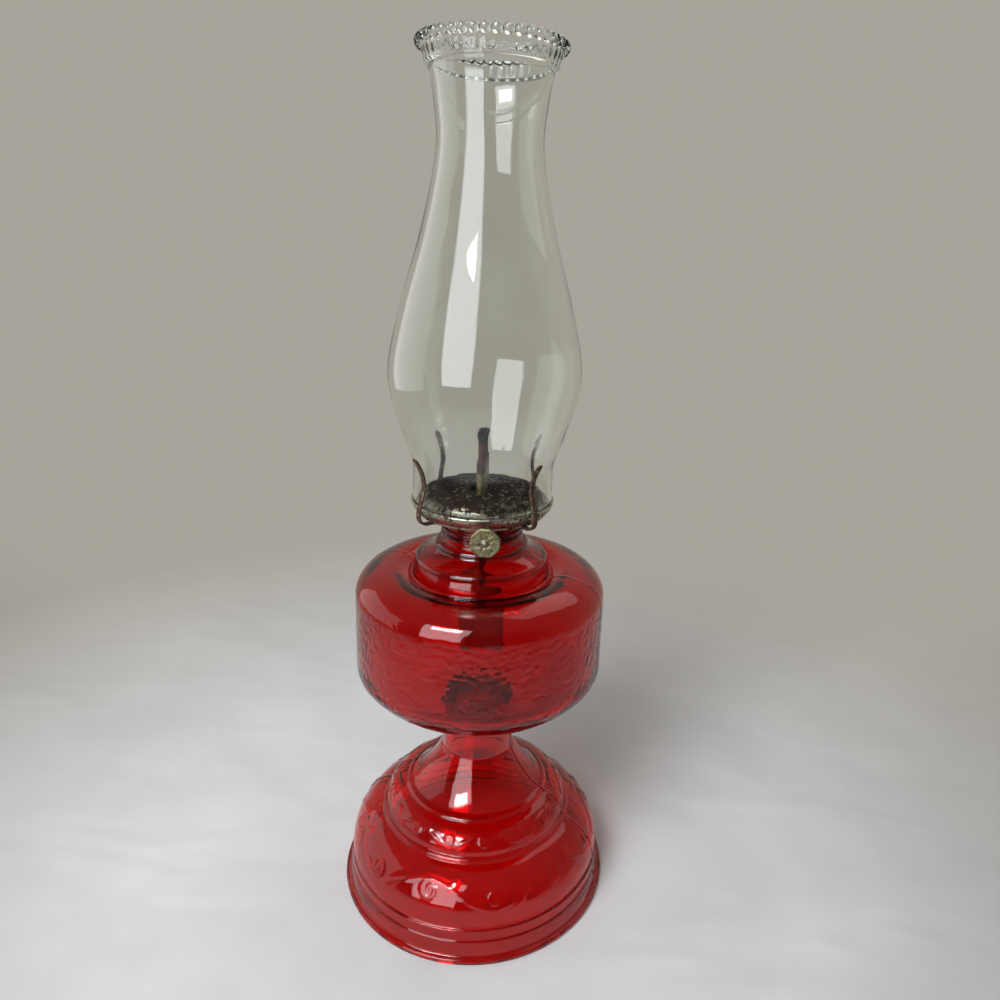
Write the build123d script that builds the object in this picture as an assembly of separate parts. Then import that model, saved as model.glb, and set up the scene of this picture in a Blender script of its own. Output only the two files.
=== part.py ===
from build123d import *
import math
import os

# Kerosene table lamp: a ruby glass font on a hollow pedestal, a flat-wick burner that
# screws into the font's neck, and a glass chimney held by four prongs.
# Millimetres. The origin is on the lamp's axis at the surface it stands on, +Z is up,
# and the wick wheel's knob faces -Y.

# ---- Glass ----
GLASS_WALL = 3.5
FOOT_RADIUS = 79.2
FOOT_SKIRT_RADIUS = 76.6
FOOT_TOP_RADIUS = 39.0
FOOT_TIER_HEIGHTS = (21.0, 47.0, 62.0)
FOOT_TIER_RADII = (56.0, 54.2, 42.0)
FOOT_CURL = 3.2
STEM_RADIUS = 20.7
STEM_START = 85.0
STEM_TOP = 116.0
STEM_BORE_RADIUS = 13.0
FONT_RADIUS = 69.6
FONT_BASE_RADIUS = 31.0
FONT_SIDE = (143.0, 186.0)
FONT_FLOOR = 121.0
SHOULDER_CREST = (49.0, 200.0)
SHOULDER_VALLEY = (38.6, 195.5)
DOME_EDGE = (36.7, 205.5)
NECK_RADIUS = 21.8
NECK_RING_RADIUS = 25.5
NECK_START = 213.0
NECK_TOP = 227.0
NECK_BORE_RADIUS = 16.6

# ---- Burner ----
SHEET = 0.6
THREAD_RADIUS = 16.25
COLLAR_RADIUS = 15.4
COLLAR_BORE_RADIUS = 14.6
COLLAR_BOTTOM = 214.5
COLLAR_FLANGE_RADIUS = 20.5
BASKET_FLOOR = NECK_TOP + 2 * SHEET
BASKET_FLANGE = 233.2
BASKET_LIP_RADIUS = 34.4
BASKET_AIR_RADIUS = 24.2
BASKET_HOLE_RADIUS = 0.9
SHAFT_BEARING = 284
SEAT_HEIGHT = 240.0
RIM_RADIUS = 38.9
RIM_ROLL = 0.8
DECK_TOP = 245.0
DECK_RADIUS = 24.0
DECK_OPENING_RADIUS = 22.4
AIR_HOLE_RADIUS = 0.65
AIR_HOLE_PITCH = 2.7
AIR_HOLE_RINGS = (9.0, 11.6, 14.2, 16.8, 19.4)
TUBE_WIDTH = 27.0
TUBE_DEPTH = 4.6
TUBE_WALL = 0.5
TUBE_BOTTOM = 208.0
TUBE_TOP = 262.5
VENT_X = -5.6
VENT_RADIUS = 2.2
VENT_TOP = 240.0

# ---- Wick drive ----
SHAFT_X = 6.0
SHAFT_Z = 230.2
SHAFT_RADIUS = 1.2
RUNNING_GAP = 0.05
SHAFT_BACK = 11.0
KNOB_Y = -45.0
KNOB_ACROSS = 15.2
KNOB_THICKNESS = 1.6
WHEEL_TIP_RADIUS = 4.35
WHEEL_ROOT_RADIUS = 3.3
WHEEL_THICKNESS = 0.8
WHEEL_TEETH = 12
WHEEL_Y = 5.0
HOUSING_WIDTH = 16.0
HOUSING_REACH = 11.0
HOUSING_BOTTOM = 224.6
HOUSING_TOP = 235.8
BUSH_RADIUS = 2.2
BUSH_LENGTH = 9.0
BUSH_Y = -25.5

# ---- Wick ----
WICK_WIDTH = 25.2
WICK_DEPTH = 3.0
WICK_BOTTOM = 152.0
WICK_TWIST = (188.0, 196.0)
WICK_CHAR = 273.4
WICK_TOP = 277.0
WICK_CHAR_DEPTH = 5.0
WICK_CHAR_WIDTH = 25.7

# ---- Chimney and its prongs ----
CHIMNEY_WALL = 2.4
CHIMNEY_FITTER_RADIUS = 37.9
CHIMNEY_BULGE = (50.8, 306.0)
CHIMNEY_NECK = (26.4, 418.0)
CHIMNEY_COLLAR = (30.8, 453.0)
CHIMNEY_TOP = 465.0
CHIMNEY_RIM_RADIUS = 36.8
CHIMNEY_RIM_BEAD = 2.5
PRONG_ANGLES = {"front_right": -45, "back_right": 45, "back_left": 135, "front_left": -135}
PRONG_WIDTH = 3.2
PRONG_GAUGE = 1.1
PRONG_CONTACT = (38.9, 253.4)
PRONG_TIP = (45.4, 268.6)
PRONG_LOOP = (42.4, 237.2)
PRONG_LOOP_START = 36.4
RIVET_RADIUS = 1.1
RIVET_HEAD_RADIUS = 1.9
RIVET_R = 32.0


def turned(*edges):
    """Revolve a closed outline, drawn as radius and height, about the lamp's axis."""
    outline = Wire([Plane.XZ * edge for edge in edges])
    return revolve(make_face(outline), Axis.Z)


def open_outline(*edges):
    """Join edges drawn as radius and height into one wire in the XZ plane."""
    return Wire([Plane.XZ * edge for edge in edges])


def sheet_turned(*edges):
    """Revolve sheet metal of one gauge whose outer face follows the edges."""
    path = open_outline(*edges)
    outline = path.offset_2d(SHEET, side=Side.RIGHT)
    return revolve(make_face(outline), Axis.Z)


def tube(radius, bore, bottom, top):
    """A plain round tube on the lamp's axis."""
    ring = Circle(radius) - Circle(bore)
    return extrude(Pos(0, 0, bottom) * ring, top - bottom)


def along_y(radius, y_start, y_end, x=SHAFT_X, z=SHAFT_Z):
    """A round bar along Y, on the wick shaft's line unless told otherwise."""
    disc = Plane(origin=(x, y_start, z), z_dir=(0, 1, 0)) * Circle(radius)
    return extrude(disc, y_end - y_start)


def oblong(width, depth, bottom, top):
    """An upright bar with the rounded-flat section of a flat wick tube, wide along Y."""
    section = Pos(0, 0, bottom) * SlotOverall(width, depth, rotation=90)
    return extrude(section, top - bottom)


def pedestal_foot():
    """Pressed glass foot: skirt, two convex tiers, a concave bell and the stem, hollow below."""
    skirt_top, tier_top, bell_start = FOOT_TIER_HEIGHTS
    tier_r, upper_r, bell_r = FOOT_TIER_RADII
    rest_r = FOOT_RADIUS - FOOT_CURL
    curl_r = FOOT_RADIUS - 1.2
    groove_r = FOOT_SKIRT_RADIUS - 1.4
    ledge_r = FOOT_SKIRT_RADIUS - 2.2
    outside = [
        Line((rest_r, 0), (curl_r, 0)),
        ThreePointArc((curl_r, 0), (FOOT_RADIUS, 1.8), (FOOT_RADIUS - 0.8, 3.6)),
        Line((FOOT_RADIUS - 0.8, 3.6), (FOOT_SKIRT_RADIUS, 4.2)),
        Line((FOOT_SKIRT_RADIUS, 4.2), (groove_r, 12.6)),
        ThreePointArc((groove_r, 12.6), (groove_r - 0.6, 13.4), (groove_r, 14.2)),
        Line((groove_r, 14.2), (ledge_r + 0.4, skirt_top - 1.2)),
        ThreePointArc((ledge_r + 0.4, skirt_top - 1.2), (ledge_r - 0.6, skirt_top - 0.4),
                      (ledge_r, skirt_top + 0.5)),
        ThreePointArc((ledge_r, skirt_top + 0.5), (70.4, 35.2), (tier_r, tier_top - 1.0)),
        ThreePointArc((tier_r, tier_top - 1.0), (tier_r - 0.2, tier_top + 0.6), (upper_r, tier_top + 1.2)),
        ThreePointArc((upper_r, tier_top + 1.2), (50.2, 56.6), (bell_r, bell_start - 1.5)),
        ThreePointArc((bell_r, bell_start - 1.5), (bell_r - 0.8, bell_start - 0.2),
                      (FOOT_TOP_RADIUS, bell_start + 0.5)),
        ThreePointArc((FOOT_TOP_RADIUS, bell_start + 0.5), (29.6, 71.6), (STEM_RADIUS + 0.6, STEM_START)),
        Line((STEM_RADIUS + 0.6, STEM_START), (STEM_RADIUS, STEM_START + 1.0)),
        Line((STEM_RADIUS, STEM_START + 1.0), (STEM_RADIUS, STEM_TOP)),
        Line((STEM_RADIUS, STEM_TOP), (0, STEM_TOP)),
    ]
    hollow_top = STEM_TOP - 10.0
    bell_inner = (36.0, 58.6)
    tier_inner = (52.0, 43.2)
    skirt_inner = FOOT_RADIUS - 8.0
    curl_inner = FOOT_RADIUS - 6.8
    inside = [
        Line((0, STEM_TOP), (0, hollow_top)),
        ThreePointArc((0, hollow_top), (8.0, hollow_top - 2.4), (STEM_BORE_RADIUS, hollow_top - 9.0)),
        Line((STEM_BORE_RADIUS, hollow_top - 9.0), (STEM_BORE_RADIUS + 3.0, STEM_START - 1.0)),
        ThreePointArc((STEM_BORE_RADIUS + 3.0, STEM_START - 1.0), (25.4, 69.4), bell_inner),
        ThreePointArc(bell_inner, (46.6, 53.0), tier_inner),
        ThreePointArc(tier_inner, (66.0, 33.6), (skirt_inner, 19.0)),
        Line((skirt_inner, 19.0), (curl_inner, 2.5)),
        ThreePointArc((curl_inner, 2.5), (curl_inner + 1.3, 0.9), (rest_r, 0)),
    ]
    return turned(*outside, *inside)


def font():
    """Oil reservoir: a drum whose shoulder dips to a valley round the domed neck, bored for the burner."""
    side_bottom, side_top = FONT_SIDE
    crest_r, crest_z = SHOULDER_CREST
    valley_r, valley_z = SHOULDER_VALLEY
    edge_r, edge_z = DOME_EDGE
    bore_start = NECK_START + 0.5
    inner_radius = FONT_RADIUS - GLASS_WALL
    outside = [
        Line((0, STEM_TOP), (FONT_BASE_RADIUS, STEM_TOP)),
        Spline((FONT_BASE_RADIUS, STEM_TOP), (48.5, 123.6), (62.9, 132.2), (FONT_RADIUS, side_bottom),
               tangents=((1, 0.05), (0, 1))),
        Line((FONT_RADIUS, side_bottom), (FONT_RADIUS, side_top)),
        Spline((FONT_RADIUS, side_top), (67.0, 193.0), (60.0, 198.0), SHOULDER_CREST,
               tangents=((0, 1), (-1, -0.05))),
        ThreePointArc(SHOULDER_CREST, (43.4, 198.8), SHOULDER_VALLEY),
        Line(SHOULDER_VALLEY, DOME_EDGE),
        ThreePointArc(DOME_EDGE, (edge_r - 0.6, edge_z + 1.5), (edge_r - 2.0, edge_z + 2.5)),
        ThreePointArc((edge_r - 2.0, edge_z + 2.5), (29.8, 210.0), (NECK_RING_RADIUS + 0.4, NECK_START)),
        ThreePointArc((NECK_RING_RADIUS + 0.4, NECK_START), (NECK_RING_RADIUS, NECK_START + 2.2),
                      (NECK_RADIUS + 1.0, NECK_START + 3.4)),
        Line((NECK_RADIUS + 1.0, NECK_START + 3.4), (NECK_RADIUS, NECK_START + 4.4)),
        Line((NECK_RADIUS, NECK_START + 4.4), (NECK_RADIUS, NECK_TOP)),
        Line((NECK_RADIUS, NECK_TOP), (NECK_BORE_RADIUS, NECK_TOP)),
    ]
    inside = [
        Line((NECK_BORE_RADIUS, NECK_TOP), (NECK_BORE_RADIUS, bore_start)),
        ThreePointArc((NECK_BORE_RADIUS, bore_start), (25.0, 207.0), (edge_r - 4.0, edge_z - 2.5)),
        Line((edge_r - 4.0, edge_z - 2.5), (valley_r - 4.6, valley_z - 0.5)),
        ThreePointArc((valley_r - 4.6, valley_z - 0.5), (37.4, 192.0), (crest_r - 7.0, crest_z - 7.2)),
        Spline((crest_r - 7.0, crest_z - 7.2), (crest_r + 2.0, crest_z - 4.0), (59.0, 194.2), (63.8, 190.2),
               (inner_radius, side_top - 2.0), tangents=((1, 0.55), (0, -1))),
        Line((inner_radius, side_top - 2.0), (inner_radius, side_bottom)),
        Spline((inner_radius, side_bottom), (60.2, 135.0), (47.0, 127.2), (FONT_BASE_RADIUS, FONT_FLOOR),
               tangents=((0, -1), (-1, -0.1))),
        Line((FONT_BASE_RADIUS, FONT_FLOOR), (0, FONT_FLOOR)),
        Line((0, FONT_FLOOR), (0, STEM_TOP)),
    ]
    return turned(*outside, *inside)


def screw_collar():
    """Brass cup that screws into the neck, with a floor the wick tube and vent stand in."""
    cup = tube(COLLAR_RADIUS, COLLAR_BORE_RADIUS, COLLAR_BOTTOM, NECK_TOP)
    cup += tube(COLLAR_FLANGE_RADIUS, COLLAR_BORE_RADIUS, NECK_TOP, NECK_TOP + SHEET)
    cup += extrude(Pos(0, 0, COLLAR_BOTTOM) * Circle(COLLAR_BORE_RADIUS + 0.2), SHEET)
    for turn in range(4):
        height = COLLAR_BOTTOM + 1.6 + 2.9 * turn
        cup += thread_ring(height)
    cup -= oblong(TUBE_WIDTH, TUBE_DEPTH, COLLAR_BOTTOM - 1, COLLAR_BOTTOM + 2)
    cup -= extrude(Pos(VENT_X, 0, COLLAR_BOTTOM - 1) * Circle(VENT_RADIUS), 3)
    return cup


def thread_ring(height):
    """One blunt turn of the collar's screw thread, as a ring."""
    crest = Polyline(
        (COLLAR_RADIUS - 0.3, height), (COLLAR_RADIUS, height), (THREAD_RADIUS, height + 0.7),
        (THREAD_RADIUS, height + 1.2), (COLLAR_RADIUS, height + 1.9), (COLLAR_RADIUS - 0.3, height + 1.9),
        close=True)
    return revolve(make_face(Plane.XZ * crest), Axis.Z)


def burner_basket():
    """Shallow sheet bowl under the gallery, with rows of air holes and the shaft bush's hole."""
    floor_radius = COLLAR_FLANGE_RADIUS
    bowl = sheet_turned(
        Line((15.6, BASKET_FLOOR - SHEET), (floor_radius, BASKET_FLOOR - SHEET)),
        Line((floor_radius, BASKET_FLOOR - SHEET), (27.6, BASKET_FLANGE - SHEET)),
        Line((27.6, BASKET_FLANGE - SHEET), (BASKET_LIP_RADIUS, BASKET_FLANGE - SHEET)),
        Line((BASKET_LIP_RADIUS, BASKET_FLANGE - SHEET), (BASKET_LIP_RADIUS, BASKET_FLANGE + 1.2)),
    )
    bowl -= along_y(BUSH_RADIUS, BUSH_Y - BUSH_LENGTH / 2, BUSH_Y + BUSH_LENGTH / 2)
    bowl -= along_y(SHAFT_RADIUS + 0.4, BUSH_Y, 0)
    rivet_holes = Sketch() + [
        Rot(0, 0, angle) * Pos(RIVET_R, 0) * Circle(RIVET_RADIUS) for angle in PRONG_ANGLES.values()]
    air_holes = Sketch() + [
        Rot(0, 0, angle) * Pos(BASKET_AIR_RADIUS, 0) * Circle(BASKET_HOLE_RADIUS)
        for angle in range(6, 360, 12) if abs(angle - SHAFT_BEARING) > 16]
    return bowl - extrude(Pos(0, 0, NECK_TOP) * (rivet_holes + air_holes), SEAT_HEIGHT - NECK_TOP)


def chimney_gallery():
    """Spun sheet gallery: rolled rim, flat seat for the chimney and the raised shoulder."""
    skirt_r = BASKET_LIP_RADIUS + SHEET
    skirt_top = BASKET_FLANGE + 0.6
    return sheet_turned(
        Line((skirt_r, BASKET_FLANGE - SHEET), (skirt_r, skirt_top)),
        ThreePointArc((skirt_r, skirt_top), (37.5, 235.9), (RIM_RADIUS, SEAT_HEIGHT - RIM_ROLL)),
        RadiusArc((RIM_RADIUS, SEAT_HEIGHT - RIM_ROLL), (RIM_RADIUS - RIM_ROLL, SEAT_HEIGHT), -RIM_ROLL),
        Line((RIM_RADIUS - RIM_ROLL, SEAT_HEIGHT), (34.6, SEAT_HEIGHT)),
        ThreePointArc((34.6, SEAT_HEIGHT), (32.2, 243.6), (28.0, DECK_TOP + SHEET)),
        Line((28.0, DECK_TOP + SHEET), (DECK_OPENING_RADIUS, DECK_TOP + SHEET)),
    )


def air_deck():
    """Perforated plate under the flame, with openings for the wick tube and the vent."""
    plate = Circle(DECK_RADIUS) - SlotOverall(TUBE_WIDTH, TUBE_DEPTH, rotation=90)
    plate -= Pos(VENT_X + 0.6, 0) * SlotOverall(16.0, 3.6, rotation=90)
    holes = []
    for radius in AIR_HOLE_RINGS:
        count = round(2 * math.pi * radius / AIR_HOLE_PITCH)
        for step in range(count):
            angle = 2 * math.pi * step / count
            x, y = radius * math.cos(angle), radius * math.sin(angle)
            if abs(y) < TUBE_WIDTH / 2 + 1.5 and -9.0 < x < TUBE_DEPTH / 2 + 1.5:
                continue
            holes.append(Pos(x, y) * Circle(AIR_HOLE_RADIUS))
    plate -= holes
    return extrude(Pos(0, 0, DECK_TOP - SHEET) * plate, SHEET)


def wick_tube():
    """Flat brass tube that guides the wick, slotted where the spur wheels reach it."""
    sleeve = oblong(TUBE_WIDTH, TUBE_DEPTH, TUBE_BOTTOM, TUBE_TOP)
    sleeve -= oblong(TUBE_WIDTH - 2 * TUBE_WALL, TUBE_DEPTH - 2 * TUBE_WALL, TUBE_BOTTOM - 1, TUBE_TOP + 1)
    for side in (-1, 1):
        sleeve -= Pos(TUBE_DEPTH / 2, side * WHEEL_Y, SHAFT_Z) * Box(1.6, WHEEL_THICKNESS + 0.8, 6.4)
    return sleeve


def wheel_housing():
    """Small sheet box on the tube that carries the shaft and keeps the wheels in place."""
    start = TUBE_DEPTH / 2
    length = HOUSING_REACH - start
    height = HOUSING_TOP - HOUSING_BOTTOM
    centre = Pos(start + length / 2, 0, (HOUSING_TOP + HOUSING_BOTTOM) / 2)
    box = centre * Box(length, HOUSING_WIDTH, height)
    box -= Pos(-TUBE_WALL, 0, 0) * centre * Box(length, HOUSING_WIDTH - 2 * TUBE_WALL, height - 2 * TUBE_WALL)
    return box - along_y(SHAFT_RADIUS + RUNNING_GAP, -HOUSING_WIDTH, HOUSING_WIDTH)


def shaft_bush():
    """Tube through the basket that the wick shaft turns in."""
    bush = along_y(BUSH_RADIUS, BUSH_Y - BUSH_LENGTH / 2, BUSH_Y + BUSH_LENGTH / 2)
    return bush - along_y(SHAFT_RADIUS + RUNNING_GAP, BUSH_Y - BUSH_LENGTH, BUSH_Y + BUSH_LENGTH)


def vent_tube():
    """Thin tube beside the wick tube that lets air into the font."""
    bore = VENT_RADIUS - TUBE_WALL
    ring = Pos(VENT_X, 0, TUBE_BOTTOM) * (Circle(VENT_RADIUS) - Circle(bore))
    return extrude(ring, VENT_TOP - TUBE_BOTTOM)


def wick_shaft():
    """Spindle from the knob to the far side of the wheel housing."""
    return along_y(SHAFT_RADIUS, KNOB_Y - KNOB_THICKNESS / 2, SHAFT_BACK)


def spur_wheels():
    """Two thin toothed wheels on the shaft that grip the wick through the tube's slots."""
    points = []
    for step in range(2 * WHEEL_TEETH):
        radius = WHEEL_TIP_RADIUS if step % 2 == 0 else WHEEL_ROOT_RADIUS
        angle = math.pi * step / WHEEL_TEETH
        points.append((radius * math.cos(angle), radius * math.sin(angle)))
    star = make_face(Polyline(*points, close=True)) - Circle(SHAFT_RADIUS)
    wheels = []
    for side in (-1, 1):
        place = Plane(origin=(SHAFT_X, side * WHEEL_Y, SHAFT_Z), z_dir=(0, 1, 0))
        wheels.append(extrude(place * star, WHEEL_THICKNESS / 2, both=True))
    return Compound(children=wheels)


def thumb_wheel():
    """Eight-sided knob pressed on the shaft's end."""
    disc = RegularPolygon(KNOB_ACROSS / 2, 8, major_radius=False, rotation=22.5) - Circle(SHAFT_RADIUS)
    place = Plane(origin=(SHAFT_X, KNOB_Y, SHAFT_Z), z_dir=(0, 1, 0))
    return extrude(place * disc, KNOB_THICKNESS / 2, both=True)


def thumb_wheel_rivet():
    """Domed head that holds the knob on its shaft."""
    face_y = KNOB_Y - KNOB_THICKNESS / 2
    head = along_y(RIVET_HEAD_RADIUS, face_y - 0.9, face_y)
    return fillet(head.faces().sort_by(Axis.Y)[0].edges(), 0.6)


def chimney_prong(angle):
    """Spring strip riveted under the gallery that curls up and leans on the chimney."""
    foot_z = BASKET_FLANGE - SHEET - PRONG_GAUGE / 2
    foot_end = RIVET_R - 2.6
    curl = open_outline(
        Line((foot_end, foot_z), (PRONG_LOOP_START, foot_z)),
        TangentArc((PRONG_LOOP_START, foot_z), PRONG_LOOP, tangent=(1, 0)),
        Spline(PRONG_LOOP, (40.6, 246.0), PRONG_CONTACT, (40.8, 261.0), PRONG_TIP,
               tangents=((0, 1), (1.0, 1.2))),
    )
    section = Plane(origin=(foot_end, 0, foot_z), x_dir=(0, 1, 0), z_dir=(1, 0, 0))
    prong = sweep(section * Rectangle(PRONG_WIDTH, PRONG_GAUGE), path=curl)
    prong -= extrude(Pos(RIVET_R, 0, foot_z - 2) * Circle(RIVET_RADIUS), 4)
    return Rot(0, 0, angle) * prong


def prong_rivets():
    """One rivet for each prong's foot, headed above and below."""
    top = BASKET_FLANGE
    bottom = BASKET_FLANGE - SHEET - PRONG_GAUGE
    rivets = []
    for angle in PRONG_ANGLES.values():
        shank = extrude(Pos(RIVET_R, 0, bottom) * Circle(RIVET_RADIUS), top - bottom)
        upper = extrude(Pos(RIVET_R, 0, top) * Circle(RIVET_HEAD_RADIUS - 0.1), 0.6)
        lower = extrude(Pos(RIVET_R, 0, bottom - 0.6) * Circle(RIVET_HEAD_RADIUS - 0.5), 0.6)
        rivets.append(Rot(0, 0, angle) * (shank + upper + lower))
    return Compound(children=rivets)


def wick():
    """Woven flat wick: its charred end has spread, and its tail has turned sideways in the font."""
    twist_bottom, twist_top = WICK_TWIST
    ribbon = oblong(WICK_WIDTH, WICK_DEPTH, twist_bottom, WICK_CHAR)
    ribbon += Rot(0, 0, 90) * oblong(WICK_WIDTH, WICK_DEPTH, WICK_BOTTOM, twist_top)
    return ribbon + oblong(WICK_CHAR_WIDTH, WICK_CHAR_DEPTH, WICK_CHAR, WICK_TOP)


def chimney():
    """Blown glass chimney: straight fitter, bulge, narrow neck and a flared beaded top."""
    bulge_r, bulge_z = CHIMNEY_BULGE
    neck_r, neck_z = CHIMNEY_NECK
    collar_r, collar_z = CHIMNEY_COLLAR
    fitter_top = 257.0
    wall = CHIMNEY_WALL
    rim_r = CHIMNEY_RIM_RADIUS - CHIMNEY_RIM_BEAD
    rim_z = CHIMNEY_TOP - CHIMNEY_RIM_BEAD
    rim_bottom = rim_z - CHIMNEY_RIM_BEAD
    rim_inner = rim_r - CHIMNEY_RIM_BEAD
    outside = [
        Line((CHIMNEY_FITTER_RADIUS, SEAT_HEIGHT), (CHIMNEY_FITTER_RADIUS - 0.2, fitter_top)),
        Spline((CHIMNEY_FITTER_RADIUS - 0.2, fitter_top), (42.6, 273.7), (bulge_r, bulge_z), (45.4, 338.0),
               (33.4, 381.0), (neck_r, neck_z), (28.2, 442.0), (collar_r, collar_z),
               tangents=((0, 1), (0.5, 1))),
        Line((collar_r, collar_z), (collar_r + 2.6, collar_z + 5.2)),
        Line((collar_r + 2.6, collar_z + 5.2), (rim_r, rim_bottom)),
        ThreePointArc((rim_r, rim_bottom), (CHIMNEY_RIM_RADIUS, rim_z), (rim_r, CHIMNEY_TOP)),
        ThreePointArc((rim_r, CHIMNEY_TOP), (rim_r - 1.8, CHIMNEY_TOP - 0.8), (rim_inner, rim_z)),
    ]
    inside = [
        Line((rim_inner, rim_z), (collar_r - wall, collar_z)),
        Spline((collar_r - wall, collar_z), (28.2 - wall, 442.0), (neck_r - wall, neck_z), (33.4 - wall, 381.0),
               (45.4 - wall, 338.0), (bulge_r - wall, bulge_z), (42.6 - wall, 274.4),
               (CHIMNEY_FITTER_RADIUS - wall - 0.2, fitter_top), tangents=((-0.5, -1), (0, -1))),
        Line((CHIMNEY_FITTER_RADIUS - wall - 0.2, fitter_top), (CHIMNEY_FITTER_RADIUS - wall, SEAT_HEIGHT)),
        Line((CHIMNEY_FITTER_RADIUS - wall, SEAT_HEIGHT), (CHIMNEY_FITTER_RADIUS, SEAT_HEIGHT)),
    ]
    return turned(*outside, *inside)


def save(node, shape):
    """Write one sub-part's STEP file."""
    export_step(shape, f"parts/{node}.step")


PARTS = [
    pedestal_foot, font, screw_collar, burner_basket, chimney_gallery, air_deck, wick_tube,
    wheel_housing, shaft_bush, vent_tube, wick_shaft, spur_wheels, thumb_wheel,
    thumb_wheel_rivet, prong_rivets, wick, chimney,
]

os.makedirs("parts", exist_ok=True)
for build in PARTS:
    save(build.__name__, build())
for place, angle in PRONG_ANGLES.items():
    save(f"chimney_prong_{place}", chimney_prong(angle))
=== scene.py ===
"""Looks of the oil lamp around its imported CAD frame: ruby glass, clear chimney, worn burner and wick."""
import math
import random

import bpy
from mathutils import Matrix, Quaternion, Vector, kdtree, noise


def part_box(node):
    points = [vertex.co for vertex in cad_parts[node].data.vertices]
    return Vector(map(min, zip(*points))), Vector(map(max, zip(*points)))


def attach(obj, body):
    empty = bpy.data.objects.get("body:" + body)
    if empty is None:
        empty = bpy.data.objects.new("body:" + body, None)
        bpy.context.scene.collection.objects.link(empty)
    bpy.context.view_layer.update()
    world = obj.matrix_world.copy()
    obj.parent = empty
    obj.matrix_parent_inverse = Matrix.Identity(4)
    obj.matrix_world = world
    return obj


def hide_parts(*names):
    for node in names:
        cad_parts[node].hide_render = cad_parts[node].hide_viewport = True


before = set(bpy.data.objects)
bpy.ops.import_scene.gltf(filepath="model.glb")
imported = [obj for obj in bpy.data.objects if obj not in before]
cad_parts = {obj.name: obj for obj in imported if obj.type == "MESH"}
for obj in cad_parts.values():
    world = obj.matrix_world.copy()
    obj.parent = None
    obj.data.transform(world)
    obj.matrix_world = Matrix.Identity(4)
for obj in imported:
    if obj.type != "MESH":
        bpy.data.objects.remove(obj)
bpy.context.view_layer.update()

MM = 0.001
SEAM_ANGLES = (-14.0, 166.0)
BEADS = 42
PRONGS = {"front_right": -45, "back_right": 45, "back_left": 135, "front_left": -135}
random.seed(7)


def top_of(node):
    """Height of a CAD node's highest point, in mm."""
    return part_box(node)[1].z / MM


def bottom_of(node):
    """Height of a CAD node's lowest point, in mm."""
    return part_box(node)[0].z / MM


def reach_of(node):
    """Largest radius of a CAD node that is round about the lamp's axis, in mm."""
    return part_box(node)[1].x / MM


# ---------------------------------------------------------------- outlines (radius, height) in mm

def run(a, b, step):
    """Points on a straight line from a to b."""
    count = max(1, round(math.dist(a, b) / step))
    return [(a[0] + (b[0] - a[0]) * i / count, a[1] + (b[1] - a[1]) * i / count) for i in range(count + 1)]


def arc(a, middle, b, step):
    """Points on the circle through three points, from a to b."""
    ax, ay = a
    bx, by = middle
    cx, cy = b
    d = 2 * (ax * (by - cy) + bx * (cy - ay) + cx * (ay - by))
    ux = ((ax * ax + ay * ay) * (by - cy) + (bx * bx + by * by) * (cy - ay) + (cx * cx + cy * cy) * (ay - by)) / d
    uy = ((ax * ax + ay * ay) * (cx - bx) + (bx * bx + by * by) * (ax - cx) + (cx * cx + cy * cy) * (bx - ax)) / d
    radius = math.hypot(ax - ux, ay - uy)
    start = math.atan2(ay - uy, ax - ux)
    through = (math.atan2(by - uy, bx - ux) - start) % math.tau
    sweep = (math.atan2(cy - uy, cx - ux) - start) % math.tau
    if through > sweep:
        sweep -= math.tau
    count = max(2, round(abs(sweep) * radius / step))
    return [(ux + radius * math.cos(start + sweep * i / count), uy + radius * math.sin(start + sweep * i / count))
            for i in range(count + 1)]


def smooth(points, step, start=None, end=None):
    """Points on a smooth curve through a few points, with end directions if they are given."""
    ends = [start or (points[1][0] - points[0][0], points[1][1] - points[0][1])]
    for before, after in zip(points, points[2:]):
        ends.append((after[0] - before[0], after[1] - before[1]))
    ends.append(end or (points[-1][0] - points[-2][0], points[-1][1] - points[-2][1]))
    out = [points[0]]
    for (p, q), (u, v) in zip(zip(points, points[1:]), zip(ends, ends[1:])):
        chord = math.dist(p, q)
        u = [c * chord / math.hypot(*u) for c in u]
        v = [c * chord / math.hypot(*v) for c in v]
        count = max(1, round(chord / step))
        for i in range(1, count + 1):
            t = i / count
            h0, h1 = 2 * t**3 - 3 * t**2 + 1, t**3 - 2 * t**2 + t
            h2, h3 = 3 * t**2 - 2 * t**3, t**3 - t**2
            out.append(tuple(h0 * p[k] + h1 * u[k] + h2 * q[k] + h3 * v[k] for k in (0, 1)))
    return out


def chain(*parts):
    """Join outlines end to end, without repeated points."""
    out = []
    for part in parts:
        for point in part:
            if not out or math.dist(out[-1], point) > 0.02:
                out.append(point)
    return out


# ---------------------------------------------------------------- mesh builders

def new_piece(name, vertices, faces, material, body, replaced):
    """Make a smooth-shaded mesh object in metres from points in mm, and put it in the frame."""
    mesh = bpy.data.meshes.new(name)
    mesh.from_pydata([Vector(v) * MM for v in vertices], [], faces)
    mesh.validate()
    piece = bpy.data.objects.new(name, mesh)
    bpy.context.scene.collection.objects.link(piece)
    mesh.materials.append(material)
    mesh.shade_smooth()
    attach(piece, body)
    if replaced:
        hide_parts(*replaced)
    return piece


def on_circle(radius, degrees, height):
    """Point at a radius, an angle round the lamp's axis and a height."""
    a = math.radians(degrees)
    return Vector((radius * math.cos(a), radius * math.sin(a), height))


def ring_faces(first, rings, columns):
    """Quads between rings of vertices that follow one another from the vertex numbered first."""
    faces = []
    for i in range(rings - 1):
        low = first + i * columns
        high = low + columns
        for j in range(columns):
            k = (j + 1) % columns
            faces.append([low + j, low + k, high + k, high + j])
    return faces


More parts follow.
